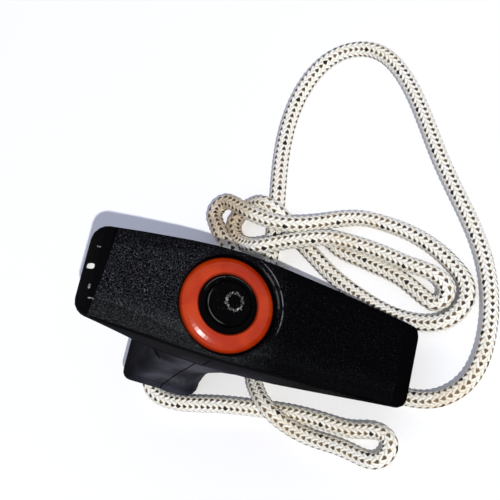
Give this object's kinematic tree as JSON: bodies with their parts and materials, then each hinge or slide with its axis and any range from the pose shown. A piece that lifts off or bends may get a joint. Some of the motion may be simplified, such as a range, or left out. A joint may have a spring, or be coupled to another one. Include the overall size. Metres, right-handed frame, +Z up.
{
  "type": "recoil starter handle",
  "caption": "Pull handle for a recoil starter: a lopsided moulded T-grip with a spring-damped rope anchor and its braided starter rope lying loose beside it.",
  "frame": {"origin": "on the surface the handle lies on, under the middle of the grip's bounding box, the free rope left out", "axes": "+X along the bar seen from above, towards the tip of its long wing; +Y across the bar, to the side where the rope's coils lie; +Z up"},
  "size_m": [0.1128, 0.1412, 0.076],
  "materials": {
    "grip_plastic": "black glass-filled nylon, fine spark-eroded grain on the face",
    "bezel_plastic": "glossy orange",
    "hub_plastic": "semi-gloss black",
    "damper_rubber": "dark elastomer",
    "rope_braid": "cream and white braid with dark tracer yarns"
  },
  "bodies": {
    "grip": {"grip_body": "grip_plastic", "bezel_ring": "bezel_plastic", "damper_sleeve": "damper_rubber"},
    "anchor": {"rope_anchor": "hub_plastic", "anchor_cap": "hub_plastic", "rope_knot": "rope_braid", "starter_rope": "rope_braid"}
  },
  "joints": [
    {"name": "rope_pull", "type": "slide", "parent": "grip", "child": "anchor", "axis": [-0.6691, 0, -0.7431], "range_m": [0, 0.0038], "stiffness_N_per_m": 3000, "springref_m": -0.002, "deforming": ["damper_sleeve"]}
  ]
}
